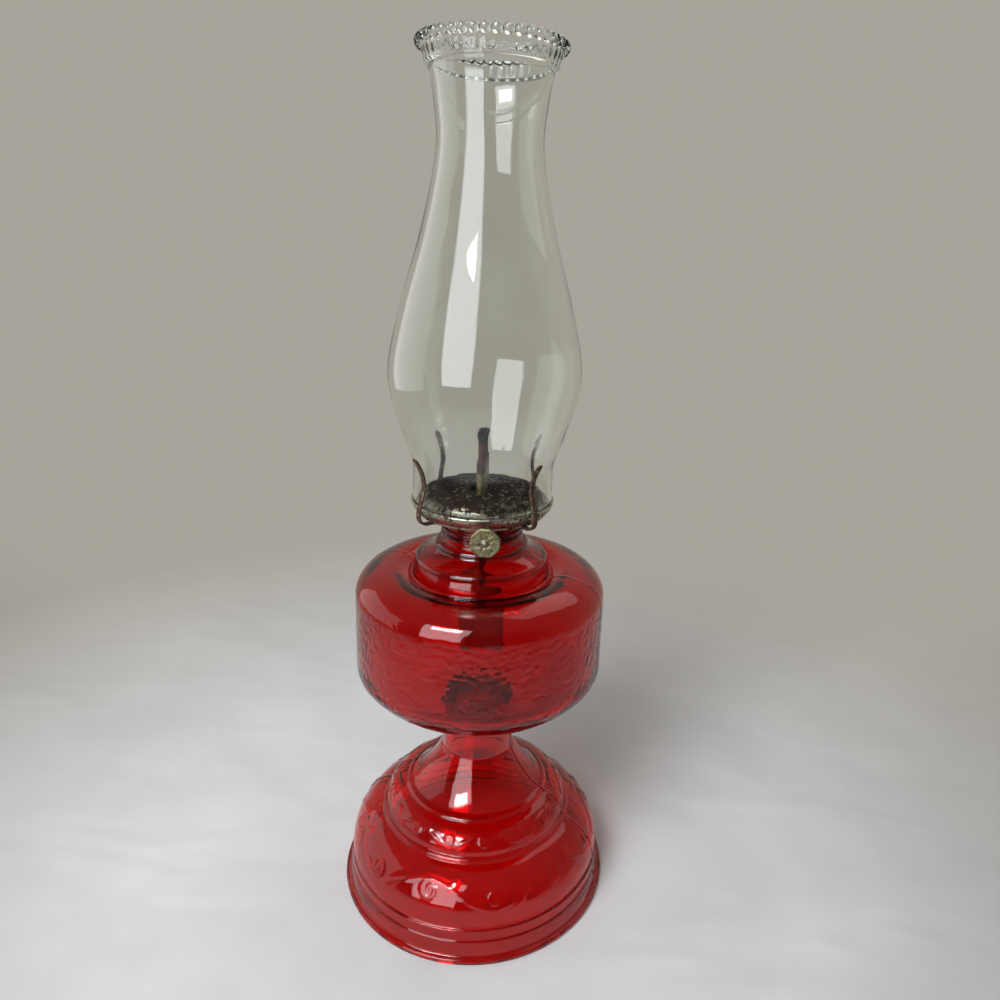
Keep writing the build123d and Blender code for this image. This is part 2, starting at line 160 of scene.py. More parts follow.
def column_angles(count, fine=()):
    """Even angles round the axis in degrees, with extra columns close to the fine ones."""
    angles = {round(360 * i / count, 4) for i in range(count)}
    for centre in fine:
        for offset in (-0.75, -0.5, -0.33, -0.16, 0.0, 0.16, 0.33, 0.5, 0.75):
            angles.add(round((centre + offset) % 360, 4))
    ordered = sorted(angles)
    return [a for i, a in enumerate(ordered) if i == 0 or a - ordered[i - 1] > 0.1]


def normals_of(outline, closed):
    """Outward direction at each point of an outline that goes anticlockwise in (radius, height)."""
    n = len(outline)
    result = []
    for i in range(n):
        before = outline[(i - 1) % n] if closed or i else outline[0]
        after = outline[(i + 1) % n] if closed or i < n - 1 else outline[-1]
        dr, dz = after[0] - before[0], after[1] - before[1]
        size = math.hypot(dr, dz) or 1.0
        result.append((dz / size, -dr / size))
    return result


def lathe(outline, angles, raise_by=None):
    """Vertices and faces of a closed outline turned about the axis. raise_by(i, r, z, degrees) lifts the surface."""
    normals = normals_of(outline, True)
    vertices, rings = [], []
    for i, (r, z) in enumerate(outline):
        if r < 0.01:
            vertices.append((0, 0, z))
            rings.append([len(vertices) - 1] * len(angles))
            continue
        ring = []
        for degrees in angles:
            lift = raise_by(i, r, z, degrees) if raise_by else 0.0
            radius, height = r + normals[i][0] * lift, z + normals[i][1] * lift
            a = math.radians(degrees)
            ring.append(len(vertices))
            vertices.append((radius * math.cos(a), radius * math.sin(a), height))
        rings.append(ring)
    faces = []
    columns = len(angles)
    for i, lower in enumerate(rings):
        upper = rings[(i + 1) % len(rings)]
        for j in range(columns):
            k = (j + 1) % columns
            corners = [lower[j], lower[k], upper[k], upper[j]]
            face = [c for n, c in enumerate(corners) if c not in corners[:n]]
            if len(face) > 2:
                faces.append(face)
    return vertices, faces


def tube_along(points, frames, section):
    """Sweep a closed section, a list of (side, up) in mm, along 3-D points, each with its own side and up."""
    vertices = []
    for i, (point, (side, up)) in enumerate(zip(points, frames)):
        for s, u in section_at(section, i, len(points)):
            vertices.append(tuple(Vector(point) + side * s + up * u))
    n = len(section)
    last = (len(points) - 1) * n
    faces = ring_faces(0, len(points), n)
    faces.append(list(range(n))[::-1])
    faces.append([last + j for j in range(n)])
    return vertices, faces


def section_at(section, i, count):
    """The section scaled down at the two ends so that they look rounded."""
    edge = min(i, count - 1 - i)
    scale = (0.55, 0.85)[edge] if edge < 2 else 1.0
    return [(s * scale, u * scale) for s, u in section]


# ---------------------------------------------------------------- materials

def material(name):
    """A new node material; returns it with its tree and its Principled shader."""
    made = bpy.data.materials.new(name)
    made.use_nodes = True
    tree = made.node_tree
    return made, tree, tree.nodes["Principled BSDF"]


def noise_node(tree, scale, detail=4.0, rough=0.55, stretch=(1, 1, 1), distortion=0.0):
    """Noise in the piece's own space; scale is in features per metre."""
    place = tree.nodes.new("ShaderNodeTexCoord")
    mapping = tree.nodes.new("ShaderNodeMapping")
    mapping.inputs["Scale"].default_value = stretch
    tree.links.new(place.outputs["Object"], mapping.inputs["Vector"])
    made = tree.nodes.new("ShaderNodeTexNoise")
    made.inputs["Scale"].default_value = scale
    made.inputs["Detail"].default_value = detail
    made.inputs["Roughness"].default_value = rough
    made.inputs["Distortion"].default_value = distortion
    tree.links.new(mapping.outputs["Vector"], made.inputs["Vector"])
    return made


def surface_height(tree):
    """Height of the shaded point in the piece's own space, in metres."""
    place = tree.nodes.new("ShaderNodeTexCoord")
    split = tree.nodes.new("ShaderNodeSeparateXYZ")
    tree.links.new(place.outputs["Object"], split.inputs["Vector"])
    return split.outputs["Z"]


def ramp(tree, source, *stops):
    """Colour ramp over a value; stops are (position, colour)."""
    made = tree.nodes.new("ShaderNodeValToRGB")
    elements = made.color_ramp.elements
    while len(elements) < len(stops):
        elements.new(0.5)
    for element, (position, colour) in zip(elements, stops):
        element.position = position
        element.color = (*colour, 1.0)
    tree.links.new(source, made.inputs["Fac"])
    return made.outputs["Color"]


def levels(tree, source, low, high, out_low, out_high):
    """Map a value's range to another, clamped."""
    made = tree.nodes.new("ShaderNodeMapRange")
    for socket, value in zip(("From Min", "From Max", "To Min", "To Max"), (low, high, out_low, out_high)):
        made.inputs[socket].default_value = value
    tree.links.new(source, made.inputs["Value"])
    return made.outputs["Result"]


def blend_colours(tree, factor, first, second):
    """Mix two colours, each a socket or an RGB triple, by a value."""
    made = tree.nodes.new("ShaderNodeMix")
    made.data_type = "RGBA"
    tree.links.new(factor, made.inputs["Factor"])
    for socket, colour in (("A", first), ("B", second)):
        target = next(s for s in made.inputs if s.name == socket and s.type == "RGBA")
        if isinstance(colour, tuple):
            target.default_value = (*colour, 1.0)
        else:
            tree.links.new(colour, target)
    return next(s for s in made.outputs if s.type == "RGBA")


def bump(tree, shader, height, strength, distance_mm):
    """Add a bump from a height value."""
    made = tree.nodes.new("ShaderNodeBump")
    made.inputs["Strength"].default_value = strength
    made.inputs["Distance"].default_value = distance_mm * MM
    tree.links.new(height, made.inputs["Height"])
    tree.links.new(made.outputs["Normal"], shader.inputs["Normal"])


def absorb(tree, colour, density):
    """Colour the glass by its thickness."""
    made = tree.nodes.new("ShaderNodeVolumeAbsorption")
    made.inputs["Color"].default_value = (*colour, 1.0)
    made.inputs["Density"].default_value = density
    tree.links.new(made.outputs["Volume"], tree.nodes["Material Output"].inputs["Volume"])


def ruby_glass(name, red):
    """Deep red pressed glass: a clean gloss with faint waviness, darker where it is thick; red is what it lets by."""
    made, tree, shader = material(name)
    shader.inputs["Transmission Weight"].default_value = 1.0
    shader.inputs["IOR"].default_value = 1.5
    streaks = noise_node(tree, 60.0, 3.0, stretch=(1, 1, 0.4))
    tint = ramp(tree, streaks.outputs["Fac"], (0.3, (1.0, 0.22, 0.20)), (0.7, (1.0, 0.32, 0.29)))
    tree.links.new(tint, shader.inputs["Base Color"])
    film = noise_node(tree, 220.0, 5.0)
    tree.links.new(levels(tree, film.outputs["Fac"], 0.35, 0.75, 0.015, 0.05), shader.inputs["Roughness"])
    shader.inputs["Specular IOR Level"].default_value = 0.40
    wave = noise_node(tree, 180.0, 2.0, distortion=0.4)
    bump(tree, shader, wave.outputs["Fac"], 0.25, 0.25)
    absorb(tree, (red, 0.02, 0.02), 520.0)
    return made


def clear_glass():
    """Thin old chimney glass: colourless with a grey-green edge and faint hazy patches."""
    made, tree, shader = material("clear_glass")
    shader.inputs["Transmission Weight"].default_value = 1.0
    shader.inputs["IOR"].default_value = 1.5
    haze = noise_node(tree, 45.0, 5.0, stretch=(1, 1, 0.3))
    tint = ramp(tree, haze.outputs["Fac"], (0.35, (0.985, 0.995, 0.985)), (0.8, (0.94, 0.95, 0.92)))
    tree.links.new(tint, shader.inputs["Base Color"])
    film = noise_node(tree, 120.0, 6.0)
    tree.links.new(levels(tree, film.outputs["Fac"], 0.5, 0.8, 0.0, 0.03), shader.inputs["Roughness"])
    shader.inputs["Specular IOR Level"].default_value = 0.35
    wave = noise_node(tree, 70.0, 2.0, stretch=(1, 1, 0.5))
    bump(tree, shader, wave.outputs["Fac"], 0.12, 0.2)
    absorb(tree, (0.55, 0.80, 0.66), 20.0)
    return made


def speckled_metal(name, sheet, rust, cover, fleck=420.0, sheet_rough=0.3, dull_above=None):
    """Tinned sheet under rust: cover from 0 to 1 says how much is rusty; it is duller and rustier above a height."""
    made, tree, shader = material(name)
    blotch = noise_node(tree, fleck, 6.0, 0.62, distortion=0.6)
    patch = noise_node(tree, fleck / 6, 3.0)
    add = tree.nodes.new("ShaderNodeMath")
    add.operation = "ADD"
    tree.links.new(blotch.outputs["Fac"], add.inputs[0])
    tree.links.new(levels(tree, patch.outputs["Fac"], 0.3, 0.7, -0.09, 0.09), add.inputs[1])
    amount = add.outputs[0]
    if dull_above:
        height = surface_height(tree)
        more = tree.nodes.new("ShaderNodeMath")
        more.operation = "ADD"
        tree.links.new(amount, more.inputs[0])
        tree.links.new(levels(tree, height, dull_above, dull_above + 5 * MM, 0.015, 0.15), more.inputs[1])
        amount = more.outputs[0]
    edge = 0.66 - 0.28 * cover
    rusty = levels(tree, amount, edge - 0.025, edge + 0.025, 0.0, 1.0)
    grain = noise_node(tree, 2600.0, 4.0)
    rust_shade = ramp(tree, grain.outputs["Fac"], (0.3, tuple(c * 0.45 for c in rust)), (0.72, rust))
    stain = noise_node(tree, 900.0, 3.0)
    sheet_shade = ramp(tree, stain.outputs["Fac"], (0.32, tuple(c * 0.72 for c in sheet)), (0.68, sheet))
    if dull_above:
        dull = levels(tree, height, dull_above - MM, dull_above + MM, 0.0, 1.0)
        sheet_shade = blend_colours(tree, dull, sheet_shade, (0.155, 0.135, 0.098))
    tree.links.new(blend_colours(tree, rusty, sheet_shade, rust_shade), shader.inputs["Base Color"])
    tree.links.new(levels(tree, rusty, 0.0, 1.0, 1.0, 0.1), shader.inputs["Metallic"])
    shader.inputs["Specular IOR Level"].default_value = 0.25
    tree.links.new(levels(tree, rusty, 0.0, 1.0, sheet_rough, 0.72), shader.inputs["Roughness"])
    total = tree.nodes.new("ShaderNodeMath")
    total.operation = "ADD"
    tree.links.new(rusty, total.inputs[0])
    tree.links.new(grain.outputs["Fac"], total.inputs[1])
    bump(tree, shader, total.outputs[0], 0.5, 0.12)
    return made


def aged_metal(name, bright, dark, rough=0.38, grain_scale=1400.0, soot_above=None):
    """Handled brass or steel: brighter and darker patches, fine pits, uneven gloss, and soot above a height."""
    made, tree, shader = material(name)
    patch = noise_node(tree, 260.0, 5.0, 0.6)
    colour = ramp(tree, patch.outputs["Fac"], (0.34, dark), (0.66, bright))
    if soot_above:
        soot = levels(tree, surface_height(tree), soot_above, soot_above + 1.5 * MM, 0.0, 1.0)
        colour = blend_colours(tree, soot, colour, (0.085, 0.035, 0.022))
    tree.links.new(colour, shader.inputs["Base Color"])
    shader.inputs["Metallic"].default_value = 1.0
    tree.links.new(levels(tree, patch.outputs["Fac"], 0.3, 0.7, rough + 0.2, rough), shader.inputs["Roughness"])
    grain = noise_node(tree, grain_scale, 4.0)
    bump(tree, shader, grain.outputs["Fac"], 0.35, 0.1)
    return made


def wick_cotton():
    """Stained cotton webbing that turns black and dry towards its burnt top."""
    made, tree, shader = material("wick_cotton")
    top = top_of("wick") * MM
    tube_foot = bottom_of("wick_tube") * MM
    height = surface_height(tree)
    uneven = noise_node(tree, 350.0, 5.0)
    drift = tree.nodes.new("ShaderNodeMath")
    drift.operation = "MULTIPLY_ADD"
    tree.links.new(uneven.outputs["Fac"], drift.inputs[0])
    drift.inputs[1].default_value = 0.006
    tree.links.new(height, drift.inputs[2])
    burnt = levels(tree, drift.outputs[0], top - 3.2 * MM, top, 0.0, 1.0)
    fibre = noise_node(tree, 1500.0, 6.0, 0.7, stretch=(1, 1, 0.35))
    clean = levels(tree, height, tube_foot + 14 * MM, tube_foot, 0.0, 1.0)
    worn = ramp(tree, fibre.outputs["Fac"], (0.30, (0.030, 0.011, 0.006)), (0.55, (0.120, 0.044, 0.025)),
                 (0.80, (0.27, 0.12, 0.07)))
    char = ramp(tree, fibre.outputs["Fac"], (0.3, (0.002, 0.002, 0.002)), (0.85, (0.018, 0.014, 0.012)))
    cloth = blend_colours(tree, clean, worn, (0.30, 0.17, 0.11))
    tree.links.new(blend_colours(tree, burnt, cloth, char), shader.inputs["Base Color"])
    shader.inputs["Roughness"].default_value = 0.95
    shader.inputs["Specular IOR Level"].default_value = 0.1
    bump(tree, shader, fibre.outputs["Fac"], 0.8, 0.25)
    return made


# ---------------------------------------------------------------- ruby glass

def ornament_tree(reference, rise, repeats, curl):
    """KD tree of points, in mm along and up the tier, of a plain scrolling vine that repeats round it."""
    period = math.tau * reference / repeats
    points = []

    def trace_line(make, count):
        for i in range(count + 1):
            points.append(make(i / count))

    def spiral(cx, cy, turn, start):
        def at(t):
            radius = curl * (1 - 0.78 * t)
            angle = start + turn * t * 8.2
            return cx + radius * math.cos(angle), cy + radius * math.sin(angle)
        return at

    def leaf(cx, cy, tilt, size):
        def at(t):
            angle = math.tau * t
            x = size * math.cos(angle)
            y = 0.42 * size * math.sin(angle) * (0.6 + 0.4 * math.cos(angle))
            return cx + x * math.cos(tilt) - y * math.sin(tilt), cy + x * math.sin(tilt) + y * math.cos(tilt)
        return at

    for n in range(repeats):
        base = n * period
        trace_line(lambda t: (base + t * period, rise * math.sin(math.tau * t)), 90)
        trace_line(spiral(base + 0.25 * period, rise - curl * 0.9, 1, math.pi / 2), 60)
        trace_line(spiral(base + 0.75 * period, curl * 0.9 - rise, 1, -math.pi / 2), 60)
        trace_line(leaf(base + 0.42 * period, rise * 0.75, 0.7, curl * 0.62), 30)
        trace_line(leaf(base + 0.92 * period, -rise * 0.75, 0.7, curl * 0.62), 30)
    tree = kdtree.KDTree(len(points) * 3)
    index = 0
    for shift in (-1, 0, 1):
        for x, y in points:
            tree.insert((x + shift * period * repeats, y, 0), index)
            index += 1
    tree.balance()
    return tree


def seam_lift(radius, degrees, height, half_width):
    """Height of the mould seam's thin ridge at this place."""
    lift = 0.0
    for seam in SEAM_ANGLES:
        away = abs((degrees - seam + 180) % 360 - 180)
        distance = math.radians(away) * radius
        if distance < 3 * half_width:
            lift += height * math.exp(-(distance / half_width) ** 2)
    return lift


def foot_outline():
    """Outside of the foot from its resting ring up, then its hollow from the stem down."""
    reach = reach_of("pedestal_foot")
    top = top_of("pedestal_foot") - 0.1
    skirt = reach - 2.6
    fine, coarse = 0.8, 4.0
    outside = chain(
        run((reach - 3.2, 0), (reach - 1.2, 0), 1.0),
        arc((reach - 1.2, 0), (reach, 1.8), (reach - 0.8, 3.6), 0.6),
        arc((reach - 0.8, 3.6), (skirt + 0.5, 3.9), (skirt, 4.6), 0.6),
        run((skirt, 4.6), (skirt - 1.3, 12.2), 1.3),
        arc((skirt - 1.3, 12.2), (skirt - 2.0, 13.4), (skirt - 1.3, 14.6), 0.5),
        run((skirt - 1.3, 14.6), (skirt - 1.7, 19.4), 1.2),
        arc((skirt - 1.7, 19.4), (skirt - 2.9, 20.6), (skirt - 2.1, 21.7), 0.5),
        arc((skirt - 2.1, 21.7), (70.4, 35.2), (56.2, 45.8), fine),
        arc((56.2, 45.8), (55.8, 47.5), (54.2, 48.2), 0.5),
        arc((54.2, 48.2), (50.2, 56.6), (42.0, 60.5), fine),
        arc((42.0, 60.5), (41.2, 61.9), (39.0, 62.5), 0.5),
        arc((39.0, 62.5), (29.6, 71.6), (21.6, 85.0), 1.6),
        arc((21.6, 85.0), (20.9, 86.0), (20.7, 87.5), 0.6),
        run((20.7, 87.5), (20.7, top - 0.6), 3.0),
        arc((20.7, top - 0.6), (20.5, top - 0.15), (20.0, top), 0.4),
        run((20.0, top), (0, top), 6.0),
    )
    inside = chain(
        arc((0, 106.0), (8.0, 103.6), (13.0, 97.0), 1.5),
        run((13.0, 97.0), (16.0, 84.0), 3.0),
        arc((16.0, 84.0), (25.4, 69.4), (36.0, 58.6), 2.4),
        arc((36.0, 58.6), (46.6, 53.0), (52.0, 43.2), 2.4),
        arc((52.0, 43.2), (66.0, 33.6), (reach - 8.0, 19.0), 2.4),
        run((reach - 8.0, 19.0), (reach - 6.8, 2.5), coarse),
        arc((reach - 6.8, 2.5), (reach - 5.5, 0.9), (reach - 3.3, 0.05), 1.0),
    )
    return outside, inside


def pedestal_foot(glass):
    """Foot with its tiers, faint scrolls, mould seams and hollow underside."""
    outside, inside = foot_outline()
    outline = outside + inside
    reach = reach_of("pedestal_foot")
    along, total = [0.0], 0.0
    for a, b in zip(outside, outside[1:]):
        total += math.dist(a, b)
        along.append(total)
    tiers = []
    for low, high, rise, repeats, curl in ((23.0, 45.0, 6.4, 6, 5.6), (49.0, 59.8, 2.6, 8, 2.9)):
        inside_tier = [i for i, (r, z) in enumerate(outside) if low <= z <= high and r > 41]
        middle = (along[inside_tier[0]] + along[inside_tier[-1]]) / 2
        reference = outside[inside_tier[len(inside_tier) // 2]][0]
        tree = ornament_tree(reference, rise, repeats, curl)
        tiers.append((set(inside_tier), middle, reference, tree))

    def lift(i, r, z, degrees):
        if i >= len(outside) or r < 1:
            return 0.0
        height = 0.10 * noise.noise(on_circle(r, degrees, z) * 0.09)
        height += seam_lift(r, degrees, 0.34, 0.5) if z > 3.0 else 0.0
        for rows, middle, reference, tree in tiers:
            if i in rows:
                _, _, distance = tree.find((math.radians(degrees) * reference, along[i] - middle, 0))
                height += 0.60 * math.exp(-(distance / 0.75) ** 2)
        return min(height, 0.7) if r < reach - 1 else min(height, 0.0)

    vertices, faces = lathe(outline, column_angles(438, SEAM_ANGLES), lift)
    return new_piece("ruby_pedestal_foot", vertices, faces, glass, "base", ["pedestal_foot"])


def font_outline():
    """Outside of the font from its base up to the neck, then the reservoir from the neck down."""
    reach = reach_of("font")
    bottom = bottom_of("font") + 0.1
    top = top_of("font")
    fine = 0.95
    outside = [
        run((0, bottom), (30.0, bottom), 5.0),
        arc((30.0, bottom), (31.0, bottom + 0.15), (32.0, bottom + 0.5), 0.5),
        smooth([(32.0, bottom + 0.5), (48.5, 123.6), (reach - 6.7, 132.2), (reach, 143.0)], fine, (1, 0.2), (0, 1)),
        run((reach, 143.0), (reach, 186.0), fine),
        smooth([(reach, 186.0), (reach - 2.6, 193.0), (60.0, 198.0), (49.0, 200.0)], 1.2, (0, 1), (-1, -0.05)),
        arc((49.0, 200.0), (44.2, 199.4), (39.8, 197.0), 1.3),
        arc((39.8, 197.0), (38.7, 196.6), (38.3, 197.6), 0.35),
        run((38.3, 197.6), (36.8, 205.2), 1.5),
        arc((36.8, 205.2), (36.2, 207.0), (34.7, 208.0), 0.5),
        arc((34.7, 208.0), (29.8, 210.0), (26.0, 213.0), 1.2),
        arc((26.0, 213.0), (25.6, 215.2), (22.8, 216.4), 0.5),
    ]
    thread = [(22.1 + 0.75 * math.sin((z - 216.4) * math.tau / 3.3), z)
              for z in [216.8 + 0.4 * n for n in range(24)]]
    rim = [arc((21.8, top - 0.5), (21.5, top - 0.1), (20.9, top), 0.3), run((20.9, top), (17.2, top), 1.2)]
    inside = [
        arc((17.2, top), (16.8, top - 0.2), (16.6, top - 0.8), 0.3),
        run((16.6, top - 0.8), (16.6, 213.5), 4.0),
        arc((16.6, 213.5), (25.0, 207.0), (32.7, 203.0), 2.5),
        smooth([(32.7, 203.0), (34.6, 196.5), (40.0, 193.4), (46.0, 195.4), (52.0, 196.4), (59.0, 194.4),
                (63.8, 190.2), (reach - 3.5, 184.0)], 2.0, (0.3, -1), (0, -1)),
        run((reach - 3.5, 184.0), (reach - 3.5, 143.0), 5.0),
        smooth([(reach - 3.5, 143.0), (60.2, 135.0), (47.0, 127.2), (31.0, 121.4)], 4.0, (0, -1), (-1, -0.1)),
        run((31.0, 121.4), (0, 120.6), 5.0),
    ]
    return chain(*outside, thread, *rim), chain(*inside)


def font(glass):
    """Oil reservoir: hammered drum, smooth shoulder, domed neck and screw-ringed mouth."""
    outside, inside = font_outline()
    hammer_low, hammer_high, hammer_fade = 119, 193, 8
    base_end, seam_end, thread_start, mouth = 117, 213, 214, 226

    def hammered(place, z):
        if z < hammer_low or z > hammer_high:
            return 0.0
        fade = min(1.0, (z - hammer_low) / hammer_fade) * min(1.0, (hammer_high - z) / hammer_fade)
        around = math.atan2(place.y, place.x)
        slant = Vector((place.x * 0.9, place.y * 0.9, place.z * 1.05 + 3.5 * math.sin(around * 3)))
        cell = noise.voronoi(slant * 0.42)[0]
        pebble = min(cell[1] - cell[0], 0.5)
        ripple = noise.fractal(slant * 0.45, 0.9, 2.1, 3)
        return fade * (0.62 * (pebble - 0.25) + 0.15 * ripple)

    def lift(i, r, z, degrees):
        if i >= len(outside) or z > mouth or z < base_end:
            return 0.0
        place = on_circle(r, degrees, z)
        height = 0.10 * noise.noise(place * 0.06) + hammered(place, z)
        if z < seam_end:
            height += seam_lift(r, degrees, 0.14, 0.6)
        return min(height, 0.34)

    def pitch(i, r, z, degrees):
        if i >= len(outside) and thread_start < z < mouth:
            return -0.32 * (0.5 + 0.5 * math.sin(math.radians(degrees) + z * math.tau / 2.9))
        if i >= len(outside) and z > 120.8 and r > 5:
            return 0.16 * noise.noise(on_circle(r, degrees, z) * 0.07)
        return lift(i, r, z, degrees)

    vertices, faces = lathe(outside + inside, column_angles(346, SEAM_ANGLES), pitch)
    return new_piece("ruby_font", vertices, faces, glass, "base", ["font"])


# ---------------------------------------------------------------- chimney

def chimney(glass):
    """Clear chimney whose flared collar ends in a row of glass pearls."""
    seat = bottom_of("chimney")
    top = top_of("chimney")
    wall = 2.4
    pearl = 2.5
    rim = 36.8 - pearl
    pearl_z = top - pearl
    body = [(37.7, 257.0), (42.6, 273.7), (50.6, 306.0), (45.4, 338.0), (33.4, 381.0), (26.4, 418.0),
            (28.2, 442.0), (30.8, 453.0)]
    outside = chain(
        arc((36.7, seat), (37.7, seat + 0.3), (37.9, seat + 1.2), 0.4),
        run((37.9, seat + 1.2), (37.7, 257.0), 2.5),
        smooth(body, 3.0, (0, 1), (0.4, 1)),
        arc((30.8, 453.0), (31.8, 453.3), (32.3, 454.0), 0.4),
        run((32.3, 454.0), (33.3, top - 2 * pearl - 0.4), 0.9),
    )
    shell_end = len(outside)
    ring = [(rim + pearl * math.cos(t), pearl_z + pearl * math.sin(t))
            for t in [math.radians(-100 + 20 * n) for n in range(14)]]
    inner_body = [(r - wall, z) for r, z in reversed(body)]
    inside = chain(
        [(rim - pearl * 0.9, pearl_z - 0.6)],
        run((rim - pearl, pearl_z - 1.4), inner_body[0], 1.5),
        smooth(inner_body, 3.6, (-0.4, -1), (0, -1)),
        run((37.7 - wall, 257.0), (37.9 - wall, seat + 0.8), 3.0),
        arc((37.9 - wall, seat + 0.8), (35.8, seat + 0.2), (36.6, seat), 0.4),
    )
    outline = outside + ring + inside
    flute_low, flute_high = 454.2, top - 2 * pearl - 0.6

    def lift(i, r, z, degrees):
        cell = (degrees * BEADS / 360) % 1.0 - 0.5
        if shell_end <= i < shell_end + len(ring):
            distance = min(1.0, abs(cell) * math.tau * rim / BEADS / pearl)
            return pearl * (math.sqrt(max(0.0, 1 - distance**2)) - 1) * 0.86
        if i < shell_end and flute_low <= z <= flute_high:
            return 0.14 * math.cos(math.tau * cell) - 0.05
        if i < shell_end and z < 450:
            return 0.12 * noise.noise(on_circle(r, degrees, z * 0.5) * 0.05)
        return 0.0

    vertices, faces = lathe(outline, column_angles(BEADS * 12), lift)
    return new_piece("clear_chimney", vertices, faces, glass, "chimney", ["chimney"])


# ---------------------------------------------------------------- burner

def chimney_gallery(metal):
    """Spun gallery with a rolled rim, chimney seat, raised shoulder and a beaded inner edge."""
    foot = bottom_of("chimney_gallery")
    reach = reach_of("chimney_gallery")
    seat = bottom_of("chimney")
    crest = top_of("chimney_gallery")
    sheet = 0.6
    outer = chain(
        run((35.0, foot), (35.0, foot + 1.0), 0.5),
        arc((35.0, foot + 1.0), (37.5, 235.9), (reach, seat - 0.8), 0.5),
        arc((reach, seat - 0.8), (reach - 0.25, seat - 0.22), (reach - 0.8, seat - 0.02), 0.3),
        run((reach - 0.8, seat - 0.02), (34.8, seat - 0.02), 0.7),
        arc((34.8, seat - 0.02), (33.6, 241.2), (32.9, 242.8), 0.4),
        arc((32.9, 242.8), (31.2, 244.6), (28.2, crest), 0.5),
        run((28.2, crest), (26.2, crest - 0.15), 0.6),
        arc((26.2, crest - 0.15), (25.2, crest + 0.95), (24.2, crest - 0.1), 0.25),
        arc((24.2, crest - 0.1), (23.5, crest + 0.6), (22.8, crest - 0.2), 0.25),
    )
    normals = normals_of(outer, False)
    inner = [(r - n[0] * sheet, z - n[1] * sheet) for (r, z), n in zip(outer, normals)]

    def dents(i, r, z, degrees):
        place = on_circle(r, degrees, z)
        return 0.09 * noise.noise(place * 0.16) + 0.03 * noise.noise(place * 0.8)

    vertices, faces = lathe(outer + inner[::-1], column_angles(300), dents)
    return new_piece("speckled_gallery", vertices, faces, metal, "burner", ["chimney_gallery"])


def deck_burrs(metal):
    """Thin raised edges left round the punched holes of the deck, each a little open."""
    z = top_of("chimney_gallery") - 0.6
    vertices, faces = [], []
    sides = 10
    for radius in (9.0, 11.6, 14.2, 16.8, 19.4):
        count = round(math.tau * radius / 2.7)
        for n in range(count):
            angle = math.tau * n / count
            x, y = radius * math.cos(angle), radius * math.sin(angle)
            if (abs(y) < 15.0 and -9.0 < x < 3.8) or random.random() < 0.70:
                continue
            first = len(vertices)
            height = random.uniform(0.10, 0.22)
            for inner, rise in ((0.60, -0.05), (0.64, height), (0.74, height * 0.8), (0.82, -0.02)):
                for j in range(sides):
                    a = math.tau * j / sides
                    vertices.append((x + inner * math.cos(a), y + inner * math.sin(a), z + rise))
            for i in range(4):
                k = (i + 1) % 4
                for j in range(sides):
                    m = (j + 1) % sides
                    faces.append([first + i * sides + j, first + k * sides + j, first + k * sides + m,
                                  first + i * sides + m])
    return new_piece("deck_burrs", vertices, faces, metal, "burner", ())


def prong(name, degrees, metal):
    """One springy strip: riveted foot, low loop, lean against the glass and flared tip."""
    node = f"chimney_prong_{name}"
    foot_z = bottom_of(node) + 0.5
    tip_z = top_of(node) - 0.6
    variation = random.uniform(-0.5, 0.5)
    path = chain(
        run((29.6, foot_z), (36.4, foot_z), 0.8),
        arc((36.4, foot_z), (40.8, foot_z + 1.5), (42.4, foot_z + 5.2), 0.5),
        smooth([(42.4, foot_z + 5.2), (40.7, 246.0), (39.0, 253.4), (40.9, 261.0),
                (45.2, tip_z - 0.3 + 0.4 * variation)], 0.9, (0, 1), (1.0, 1.2)),
    )
    corners = []
    width, gauge, round_off = 1.6, 0.6, 0.4
    for sx, sy in ((1, 1), (-1, 1), (-1, -1), (1, -1)):
        for step in range(4):
            t = math.radians(step * 30) if sx * sy > 0 else math.radians(90 - step * 30)
            corners.append((sx * (width - round_off + round_off * math.cos(t)),
                            sy * (gauge - round_off + round_off * math.sin(t))))
    turn = math.radians(degrees)
    radial = Vector((math.cos(turn), math.sin(turn), 0))
    sideways = Vector((-math.sin(turn), math.cos(turn), 0))
    normals = normals_of(path, False)
    points, frames = [], []
    for (r, z), (nr, nz) in zip(path, normals):
        wobble = 0.25 * variation * max(0.0, (z - 256) / 10)
        points.append(radial * r + sideways * wobble + Vector((0, 0, z)))
        frames.append((sideways, radial * nr + Vector((0, 0, nz))))
    vertices, faces = tube_along(points, frames, corners)
    return new_piece(f"prong_{name}", vertices, faces, metal, "burner", [node])


